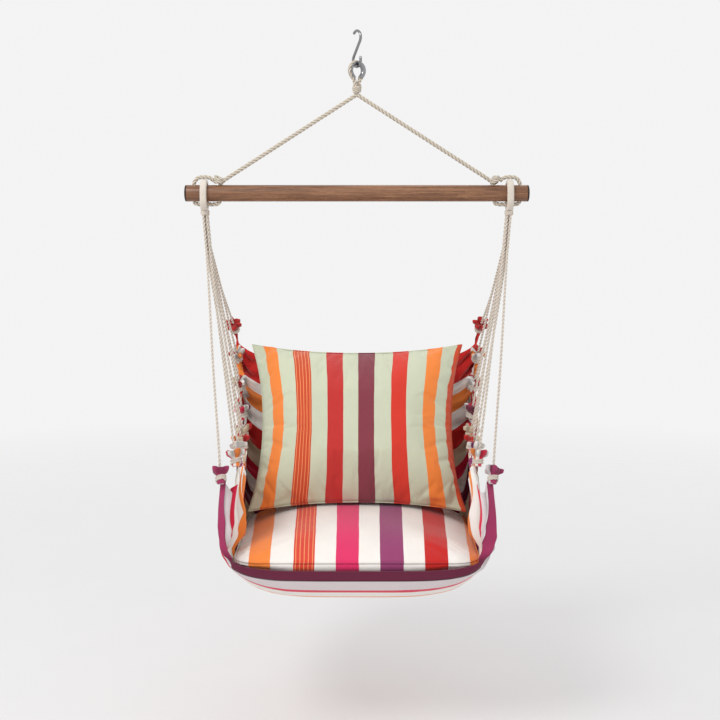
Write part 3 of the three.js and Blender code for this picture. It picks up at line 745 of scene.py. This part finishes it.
def add_tie(word, side, k, rng, cloth):
    """The bound gather at the cloth's edge: three turns of cord, and the cloth that stands out above."""
    at, towards = tie_at(k)
    turn = Vector((0, 0, 1)).rotation_difference(Vector(mirrored(towards, side)))
    matrix = shift(*mirrored(at, side)) @ turn.to_matrix().to_4x4()
    spin = Matrix.Rotation(rng.uniform(0, 2 * math.pi), 4, "Z")
    wraps = coil(3.3, lambda w: 10.5 + 0.5 * math.sin(9 * w), -6.6, 4.2, step=0.9)
    wraps[:, 2] += 0.12 * wraps[:, 0]
    wrap = laid_rope(f"tie_wrap_{word}_{k + 1}", wraps, 2.3, 14, 2, CORD, taper=3)
    place(wrap, matrix @ spin)
    finish_piece(wrap, "seat", "cotton_cord")
    rows, columns = 44, 96
    t = np.linspace(0, 1, rows)[:, None]
    a = (2 * np.pi * np.arange(columns) / columns)[None]
    lobes = rng.integers(4, 7)
    phase = rng.uniform(0, 6, 3)
    fold = 0.20 * np.sin(lobes * a + phase[0]) + 0.12 * np.sin((lobes + 3) * a + phase[1])
    fold = fold * smoothstep(t, 0.28, 0.7)
    bell = np.interp(t, [0, 0.3, 0.42, 0.62, 0.8, 0.92, 1.0], [8.8, 8.9, 10.5, 17.0, 18.2, 14.0, 3.2])
    tall = np.interp(t, [0, 0.3, 0.62, 0.8, 0.92, 1.0], [-12, 4.5, 14, 23, 25, 18])
    radius = bell * (1 + fold)
    tall = tall + 2.6 * np.sin(2 * a + phase[2]) * smoothstep(t, 0.4, 0.9)
    points = np.stack(np.broadcast_arrays(radius * np.cos(a), radius * np.sin(a), tall), -1)
    faces = tube_faces(rows, columns)
    puff = make_mesh(f"tie_puff_{word}_{k + 1}", points.reshape(-1, 3), faces, cloth)
    middle = KEEL_LENGTH * k / (TIES - 1)
    reach = KEEL_LENGTH / (TIES - 1) / 2
    wander = middle + reach * 0.95 * np.sin(a + phase[1]) + 6 * t
    low, high = (12, reach) if k == 0 else (0, KEEL_LENGTH - 8)
    flat_y = np.broadcast_to(np.clip(wander, low, high), (rows, columns))
    flat_x = np.broadcast_to(a * 12 + t * 40, (rows, columns))
    put_attribute(puff, "flat", np.stack([flat_x, flat_y, 0 * flat_x], -1) * MM)
    # painted shade in the gathered folds: deeper in their valleys and towards the top
    shade = np.clip(0.42 - 1.1 * fold, 0, 0.5) * smoothstep(t, 0.2, 0.6)
    put_attribute(puff, "shade", shade, "FLOAT")
    place(puff, matrix @ spin)
    finish_piece(puff, "seat", "tie_fabric", f"tie_{word}_{k + 1}")


# --- sling
KEEL_LINE = catmull(KEEL, np.linspace(0, 1, 3000))
KEEL_LENGTH = lengths(KEEL_LINE)[-1]
# The lilac grey stripe after the hem, and the cream and maroon stripes, are painted shade: white and purple
# yarn given the darker colours it shows in shade
SLING_STRIPES = [
    (HEM, MAGENTA), (40, WHITE_IN_BELLY_SHADE), (15, CRIMSON), (44, WHITE), (50, ORANGE), (46, WHITE), (20, PURPLE),
    (46, WHITE), (44, RED), (46, WHITE_IN_SHADE), (42, ORANGE), (46, WHITE), (44, RED), (46, WHITE_IN_SHADE), (46, PURPLE_IN_SHADE),
    (40, WHITE), (36, CRIMSON), (46, WHITE_IN_SHADE), (50, RED), (46, WHITE), (44, ORANGE), (30, WHITE), (40, RED),
]


def sling_base(u, v):
    """The slack sling without its gathers: u is -1 to 1 across it, v is 0 to 1 from front hem to back."""
    at = catmull(TIE_LINE, v.ravel()).reshape(*v.shape, 3)
    towards = unit(np.array([NECK_X, 0, NECK_BOTTOM]) - at)
    edge = at - TIE_BACK * towards
    keel = at_length(KEEL_LINE, v * KEEL_LENGTH)
    seat = smoothstep(v, 0, 0.08)
    back = smoothstep(v, 0.45, 0.95)
    square = (5.5 - 1.3 * seat) * (1 - back) + 2.3 * back
    power = 2 / square
    angle = np.abs(u) * np.pi / 2
    out = np.sin(angle) ** power
    up = 1 - np.clip(np.cos(angle), 0, 1) ** power
    wide = np.maximum(BULGE_X, edge[..., 0])
    x = wide * out * (1 - (1 - edge[..., 0] / wide) * up**1.3)
    point = keel + (edge - keel) * up[..., None]
    point[..., 0] = np.sign(u) * x
    return point, towards


def soft_noise(x, y, seed, size):
    """Smooth noise from -1 to 1, from a seeded lattice `size` apart."""
    rng = np.random.default_rng(seed)
    lattice = rng.uniform(-1, 1, (64, 64))
    fx, fy = x / size + 31.3, y / size + 17.7
    ix, iy = np.floor(fx).astype(int), np.floor(fy).astype(int)
    wx, wy = smoothstep(fx - ix, 0, 1), smoothstep(fy - iy, 0, 1)
    value = lambda i, j: lattice[i % 64, j % 64]
    low = value(ix, iy) * (1 - wx) + value(ix + 1, iy) * wx
    high = value(ix, iy + 1) * (1 - wx) + value(ix + 1, iy + 1) * wx
    return low * (1 - wy) + high * wy


def add_sling(cloth):
    columns, rows = 261, 641
    i = np.linspace(-1, 1, columns)
    u, v = np.meshgrid(np.sign(i) * np.abs(i) ** 0.85, np.linspace(0, 1, rows))
    side = np.abs(u)
    share = v * (TIES - 1)
    near = smoothstep(side, 0.60, 1.0)
    between = 0.5 - 0.5 * np.cos(2 * np.pi * share)
    between *= smoothstep(share, 0.15, 0.5) * smoothstep(TIES - 1 - share, 0.15, 0.5)
    gather = 0.62 * near + 0.26 * smoothstep(side, 0.9, 1.0)
    vs = v - gather * np.sin(2 * np.pi * share) / (2 * np.pi * (TIES - 1))
    point, towards = sling_base(u, vs)
    towards = towards * np.stack([np.sign(u), np.ones_like(u), np.ones_like(u)], -1)
    point += towards * (near**3 * (10 - 44 * between))[..., None]
    normal = unit(np.cross(np.gradient(point, axis=1), np.gradient(point, axis=0)))
    across, along = u * SLING_HALF_WIDTH, v * KEEL_LENGTH
    from_back = KEEL_LENGTH - along
    zone = smoothstep(side, 0.40, 0.85)
    wobble = 0.30 * soft_noise(across, along, 5, 110) + np.where(u > 0, 0.37, 0.0)
    pleats = np.cos(2 * np.pi * (3 * share + wobble))
    pleats += 0.35 * np.cos(2 * np.pi * (5 * share + 2 * wobble))
    calm = smoothstep(along, 6, 40) * smoothstep(from_back, 6, 40)
    tight = 1 - 0.45 * smoothstep(side, 0.93, 1.0)
    height = 9.0 * zone * tight * pleats * (0.25 + 0.75 * calm)
    pocket = 8 * near * between
    wrinkles = 2.0 * soft_noise(across, along, 11, 70) + 1.1 * soft_noise(across, along, 12, 26)
    point += normal * (height + wrinkles * (0.35 + 0.65 * zone) - pocket)[..., None]
    folded = smoothstep(HEM + 1 - along, 0, 2) + smoothstep(HEM + 1 - from_back, 0, 2)
    point += normal * (0.9 * folded)[..., None]
    hang = smoothstep(side, 0.50, 0.68) * (1 - 0.45 * smoothstep(side, 0.92, 1))
    above = smoothstep(side, 0.74, 0.88) * (1 - 0.5 * smoothstep(side, 0.92, 1))
    turned = np.interp(along, [0, HEM, HEM + 12, HEM + 22], [3, -20, -4, 0])
    reached = [HEM, HEM + 22, 80, 130, 175, 230, 290]
    drawn_in = np.interp(along, reached, [0, -17, -16, -27, -30, -12, 0])
    point[..., 0] += np.sign(u) * (turned * hang + drawn_in * above)
    point[..., 1] += smoothstep(side, 0.66, 0.82) * np.interp(along, [0, HEM], [13, 0])
    sling = make_mesh("sling_cloth", point.reshape(-1, 3), grid_faces(rows, columns), cloth)
    put_attribute(sling, "flat", np.stack([across, along, 0 * across], -1) * MM)
    # painted shade: darker along the hem seams, in the pleat valleys, and over the front hem, which darkens
    # from magenta at the arms to maroon in front
    stitch_shade = np.exp(-(((along - HEM) / 1.6) ** 2)) + np.exp(-(((from_back - HEM) / 1.6) ** 2))
    valley_shade = np.clip(-pleats, 0, 1.3) * zone * calm
    front_hem_shade = (along < HEM + 1) * (0.64 - 0.58 * smoothstep(side, 0.5, 0.78))
    put_attribute(sling, "shade", np.minimum(0.35 * stitch_shade + 0.30 * valley_shade + front_hem_shade, 0.8), "FLOAT")
    thick = sling.modifiers.new("thickness", "SOLIDIFY")
    thick.thickness = SLING_THICK * MM
    thick.offset = 0
    finish_piece(sling, "seat", "sling_fabric", "sling")
    return sling


# --- cushions
def vectors(items, field):
    """A vector field of a mesh's vertices or faces, as an array."""
    values = np.zeros(len(items) * 3, np.float32)
    items.foreach_get(field, values)
    return values.reshape(-1, 3)


def positions(mesh):
    return vectors(mesh.vertices, "co").astype(float)


def set_positions(mesh, co):
    mesh.vertices.foreach_set("co", np.asarray(co, np.float32).ravel())
    mesh.update()


def puff_up(piece, pressure, steps, cap, pins, stiffness=15.0, bending=0.5, shrink=0.0):
    """Inflates the piece by cloth simulation, and keeps the mesh. No point moves further than `cap` mm."""
    start = positions(piece.data)
    modifier = piece.modifiers.new("cloth", "CLOTH")
    settings = modifier.settings
    settings.quality = 6
    settings.mass = 0.3
    settings.tension_stiffness = stiffness
    settings.compression_stiffness = stiffness
    settings.shear_stiffness = stiffness / 3
    settings.bending_stiffness = bending
    settings.air_damping = 4
    settings.use_pressure = True
    settings.uniform_pressure_force = pressure
    settings.effector_weights.gravity = 0
    settings.shrink_min = shrink
    modifier.collision_settings.use_collision = False
    group = piece.vertex_groups.new(name="pins")
    group.add([int(i) for i in pins], 1.0, "ADD")
    settings.vertex_group_mass = "pins"
    modifier.point_cache.frame_start = 1
    modifier.point_cache.frame_end = steps
    for step in range(1, steps + 1):
        scene.frame_set(step)
    depsgraph = bpy.context.evaluated_depsgraph_get()
    made = piece.evaluated_get(depsgraph).to_mesh()
    end = positions(made)
    piece.evaluated_get(depsgraph).to_mesh_clear()
    piece.modifiers.remove(modifier)
    scene.frame_set(1)
    move = end - start
    far = np.linalg.norm(move, axis=1, keepdims=True)
    set_positions(piece.data, start + move * np.minimum(1, cap * MM / np.maximum(far, 1e-9)))


def plan(a, b, corner, step):
    """A rectangle of half sizes a and b with rounded corners, as even points from the middle of its front."""
    points = [(0, -b), (a - corner, -b)]
    for across, along, start in ((1, -1, -90), (1, 1, 0), (-1, 1, 90), (-1, -1, 180)):
        centre = np.array([across * (a - corner), along * (b - corner)])
        for t in np.radians(np.linspace(start, start + 90, 12)):
            points.append(tuple(centre + [corner * math.cos(t), corner * math.sin(t)]))
    points.append((0, -b))
    return evenly(np.array([(x, y, 0) for x, y in points]), step)[:-1]


def cushion_lift(x, y):
    """How far the underside rises from its lowest point, where it lies in the sling's hollow."""
    lift = CUSHION_LIFT["sides"] * np.abs(x) ** 5.5 + CUSHION_LIFT["ends"] * np.abs(y) ** 3.5
    return np.minimum(lift, CUSHION_LIFT["most"])


def cushion_seed():
    """The boxed seat cushion, slightly slack, as a closed stack of outlines, and the line of its top seam."""
    half, front, back = CUSHION["half"] - 2, CUSHION["front"] + 2, CUSHION["back"] - 2
    depth, middle = (back - front) / 2, (back + front) / 2
    outline = plan(half, depth, CUSHION_CORNER, CUSHION_STEP)[:, :2]
    top, bottom = CUSHION["seam"], CUSHION["bottom"] + 3
    crown = CUSHION["crown"] - 8
    over = [(r, top + crown * (1 - r**6)) for r in (0.02, 0.2, 0.4, 0.6, 0.76, 0.86, 0.93)]
    over += [(0.97, top + 3), (1, top - 2), (1, top - 7)]
    rings = [np.column_stack([outline * r, np.full(len(outline), z)]) for r, z in over]
    for r in (1, 0.97, 0.9, 0.78, 0.6, 0.35, 0.02):
        lift = cushion_lift(outline[:, 0] * r / half, outline[:, 1] * r / depth)
        rings.append(np.column_stack([outline * r, np.minimum(bottom + lift, top - 9)]))
    count = len(outline)
    faces = tube_faces(len(rings), count, flip=True)
    points = np.vstack(rings) + [0, middle, 0]
    spread = np.sqrt(np.maximum(0, 1 - (points[:, 0] / half) ** 2)) * smoothstep(points[:, 1], -90, 40)
    points[:, 2] += CUSHION_FULLER * spread * (points[:, 2] > top)
    seam = np.column_stack([outline * 0.995, np.full(count, top)]) + [0, middle, 0]
    return make_mesh("seat_cover", points, faces), seam


def remesh(piece, voxel):
    bpy.context.view_layer.objects.active = piece
    piece.data.remesh_voxel_size = voxel * MM
    bpy.ops.object.voxel_remesh()


def subdivide(piece):
    modifier = piece.modifiers.new("finer", "SUBSURF")
    modifier.levels = modifier.render_levels = 1
    apply_modifiers(piece)


def corner_values(piece, per_point, faces_mask, other):
    """Values for each face corner: `other` where the face is in the mask, `per_point` elsewhere."""
    loops = np.zeros(len(piece.data.loops), int)
    piece.data.loops.foreach_get("vertex_index", loops)
    totals = np.zeros(len(piece.data.polygons), int)
    piece.data.polygons.foreach_get("loop_total", totals)
    masked = np.repeat(faces_mask, totals)
    return np.where(masked[:, None], other[loops], per_point[loops])


def inner_copy(piece, name, material, depth):
    """The filling: the cover's own shape drawn in by `depth` mm."""
    mesh = piece.data.copy()
    mesh.name = name
    mesh.materials.clear()
    mesh.materials.append(material)
    set_positions(mesh, positions(mesh) - vectors(mesh.vertices, "normal") * depth * MM)
    inner = bpy.data.objects.new(name, mesh)
    scene.collection.objects.link(inner)
    return inner


def distance_to(line, points):
    tree = KDTree(len(line))
    for i, p in enumerate(line):
        tree.insert(p, i)
    tree.balance()
    return np.array([tree.find(p)[2] for p in points])


def stretched(x, y):
    """Where the point's cloth lies across the stripes: the cover is drawn in towards its front."""
    return x * (1 + CUSHION_STRETCH * smoothstep(-y, -100, -CUSHION["front"]))


def add_seat_cushion():
    stripes = [(31, WHITE), (50, ORANGE), (53, WHITE), (49, CORAL), (49, WHITE), (53, PINK),
               (49, WHITE), (54, PURPLE), (49, WHITE), (54, RED), (50, WHITE), (53, ORANGE)]
    cloth = cloth_material("seat_cloth", stripes, -280, [(-146, 49, 5, PIN)])
    cover, seam = cushion_seed()
    remesh(cover, 6)
    co = positions(cover.data) / MM
    held = np.flatnonzero((distance_to(seam, co) < 4.5) | (co[:, 2] < CUSHION["seam"] - 22))
    puff_up(cover, 4.0, 20, 24, held)
    subdivide(cover)
    finish_cushion(cover, seam, cloth)


def finish_cushion(cover, seam, cloth):
    mesh = cover.data
    mesh.materials.clear()
    mesh.materials.append(cloth)
    mesh.shade_smooth()
    co = positions(mesh) / MM
    normals = vectors(mesh.vertices, "normal")
    far = distance_to(seam, co)
    groove = np.exp(-((far / 3.2) ** 2))
    puckers = 1.1 * soft_noise(co[:, 0], co[:, 1], 21, 16) * np.exp(-((far / 26) ** 2))
    creases = 1.3 * soft_noise(co[:, 0], co[:, 1], 22, 75)
    co = co - normals * (2.6 * groove)[:, None] + normals * (puckers + creases)[:, None]
    co[:, 2] = np.maximum(co[:, 2], CUSHION["bottom"] - 2)
    set_positions(mesh, co * MM)
    half, front = CUSHION["half"], CUSHION["front"]
    across = stretched(co[:, 0], co[:, 1])
    top_flat = np.stack([co[:, 1], across, 0 * across], 1)
    round_side = np.sign(co[:, 0]) * (half + (co[:, 1] - front))
    on_front = np.abs(co[:, 1] - front) < 36
    boxing_y = np.where(on_front | (np.abs(co[:, 0]) < half - 40), across, round_side)
    boxing = np.stack([co[:, 2], boxing_y, 0 * across], 1)
    below_seam = vectors(mesh.polygons, "center")[:, 2] < CUSHION["seam"] * MM
    upright = np.abs(vectors(mesh.polygons, "normal")[:, 2]) < 0.7
    flat = corner_values(cover, top_flat * MM, upright & below_seam, boxing * MM)
    put_attribute(cover, "flat", flat, domain="CORNER")
    # painted shade along the sewn groove of the top seam
    put_attribute(cover, "shade", 0.5 * np.exp(-((far / 2.2) ** 2)), "FLOAT")
    finish_piece(cover, "seat_cushion", "seat_fabric", "seat_cushion_cover")
    foam = inner_copy(cover, "seat_foam", FOAM, 4)
    finish_piece(foam, "seat_cushion", "foam", "seat_cushion_foam")
    seam_flat = np.column_stack([seam[:, 1], stretched(seam[:, 0], seam[:, 1])])
    welt = add_piping("seat_piping", seam, seam_flat, 1.5, cloth)
    finish_piece(welt, "seat_cushion", "seat_fabric")
    behind = shift(0, CUSHION["back"] + 1.5, CUSHION["seam"] - 25)
    turned = turn_about("Z", 180) @ turn_about("X", 90)
    add_zip("seat_zip_teeth", SEAT_ZIP_HALF, behind @ turned, "seat_cushion", "seat_cushion_zip")


def add_piping(name, loop, flat, radius, cloth):
    """A covered cord sewn into a seam: `flat` is the cloth's coordinates along the loop."""
    piping = sweep(name, loop, round_section(len(loop), radius, 10), cloth, closed=True)
    around = np.repeat(np.column_stack([flat, np.zeros(len(flat))]), 10, axis=0)
    put_attribute(piping, "flat", around * MM)
    # a faint painted shade over the whole piping
    put_attribute(piping, "shade", np.full(len(around), 0.06), "FLOAT")
    return piping


def add_zip(name, half, matrix, body, node):
    """A closed nylon zip in the plane z = 0, along X: tape, two rows of teeth, slider and puller."""
    bm = bmesh.new()

    def block(x, y, z, sx, sy, sz):
        shape = shift(x, y, z) @ Matrix.Diagonal((sx * MM, sy * MM, sz * MM, 1))
        bmesh.ops.create_cube(bm, size=1, matrix=shape)

    block(0, 0, 0, 2 * half, 9.2, 0.7)
    for i in range(int(half / 1.25)):
        block(-half + 4 + 2.5 * i, 0.75 if i % 2 else -0.75, 0.55, 1.3, 2.9, 0.9)
    for sign in (-1, 1):
        block(sign * (half - 1.2), 0, 0.7, 2.2, 5.4, 1.4)
    block(half - 14, 0, 1.1, 9, 6.4, 1.7)
    block(half - 14, 0, 2.3, 5, 1.6, 1.2)
    block(half - 22, 0, 2.3, 15, 3.6, 0.9)
    bmesh.ops.bevel(bm, geom=bm.edges[:], offset=0.00018, segments=1, affect="EDGES")
    mesh = bpy.data.meshes.new(name)
    bm.to_mesh(mesh)
    bm.free()
    mesh.materials.append(ZIP)
    made = bpy.data.objects.new(name, mesh)
    scene.collection.objects.link(made)
    place(made, matrix)
    finish_piece(made, body, "zip", node)


def pillow_seed():
    """Two panels sewn edge to edge and half filled, with the panels' flat coordinates and the sewn edge."""
    half, rise = PILLOW["half"], PILLOW["rise"]
    x, z = np.meshgrid(np.linspace(-1, 1, 105), np.linspace(-1, 1, 85))
    drawn_x = x * half * (1 - 0.12 * (1 - np.abs(z) ** 2.2))
    drawn_z = z * rise * (1 - 0.11 * (1 - np.abs(x) ** 2.2))
    full = (1 - x**4) * (1 - z**4)
    bulge = -PILLOW_DEPTH * np.clip(full, 0, 1) ** 0.55
    front = np.stack([drawn_x, bulge, drawn_z], -1).reshape(-1, 3)
    edge = (np.maximum(np.abs(x), np.abs(z)) > 0.999).ravel()
    other = np.where(edge, np.arange(edge.size), 0)
    other[~edge] = edge.size + np.arange((~edge).sum())
    faces = grid_faces(*x.shape)
    points = np.vstack([front, front[~edge] * [1, -1, 1]])
    flat = np.stack([z * rise, x * half, 0 * x], -1).reshape(-1, 3)
    pillow = make_mesh("pillow_shell", points, np.vstack([faces, other[faces][:, ::-1]]))
    is_back = np.arange(2 * len(faces)) >= len(faces)
    number = np.arange(x.size).reshape(x.shape)
    loop = np.concatenate([number[0, :-1], number[:-1, -1], number[-1, :0:-1], number[:0:-1, 0]])
    return pillow, np.vstack([flat, flat[~edge]]), is_back, loop


def add_pillow():
    """The seed blown up by the simulation, its cloth a little larger than its shape so that it creases."""
    half, rise = PILLOW["half"], PILLOW["rise"]
    pillow, flat, is_back, loop = pillow_seed()
    puff_up(pillow, 7.0, 26, 30, loop, stiffness=16, bending=0.25, shrink=-0.04)
    put_attribute(pillow, "flat", flat * MM)
    rim = np.minimum(half - np.abs(flat[:, 1]), rise - np.abs(flat[:, 0]))
    # painted shade along the sewn rim
    put_attribute(pillow, "shade", 0.22 * np.exp(-((rim / 3.0) ** 2)), "FLOAT")
    stripes = [(28, SAGE), (34, ORANGE), (40, SAGE), (41, RUST), (41, SAGE), (41, BRICK), (38, SAGE),
               (41, BROWN), (44, SAGE), (39, TOMATO), (47, SAGE), (38, ORANGE), (35, SAGE), (40, RUST)]
    front_cloth = cloth_material("pillow_cloth", stripes, -half, [(-half + 102, 41, 5, PIN)])
    back_cloth = cloth_material("pillow_reverse", [(300, GREY)], 0)
    pillow.data.materials.append(front_cloth)
    pillow.data.materials.append(back_cloth)
    pillow.data.polygons.foreach_set("material_index", is_back.astype(np.int32))
    rim_line = positions(pillow.data)[loop] / MM
    subdivide(pillow)
    co = positions(pillow.data)
    half_size = np.ptp(co, axis=0) / 2 / MM
    set_positions(pillow.data, co * np.array([half / half_size[0], 1, rise / half_size[2]]))
    widest, _, tallest = np.abs(rim_line).max(axis=0)
    rim_line *= np.array([half / widest, 1, rise / tallest])
    pillow.data.shade_smooth()
    matrix = shift(*PILLOW["at"]) @ turn_about("X", -PILLOW["lean"])
    edging = add_piping("pillow_piping", rim_line, flat[loop, :2], 1.7, front_cloth)
    for piece in (pillow, edging):
        place(piece, matrix)
    finish_piece(pillow, "pillow", "pillow_fabric", "pillow_cover")
    finish_piece(edging, "pillow", "pillow_fabric")
    stuffing = inner_copy(pillow, "pillow_stuffing", FIBRE, 3)
    finish_piece(stuffing, "pillow", "pillow_filling", "pillow_fill")
    lower_seam = shift(z=4 - 0.89 * rise) @ turn_about("X", 180)
    add_zip("pillow_zip_teeth", PILLOW_ZIP_HALF, matrix @ lower_seam, "pillow", "pillow_zip")


# --- assembly
add_camera()
add_studio()
draw = np.random.default_rng(7)
for word, side in SIDES:
    add_leg(word, side)
    for k in range(TIES):
        add_cord(word, side, k, draw)
add_hook()
add_thimble()
add_rope_eye()
add_bar()
sling_cloth = cloth_material("sling_cloth", SLING_STRIPES, 0)
for word, side in SIDES:
    add_cord_eye(word, side)
    for k in range(TIES):
        add_tie(word, side, k, draw, sling_cloth)
sling = add_sling(sling_cloth)
add_seat_cushion()
add_pillow()
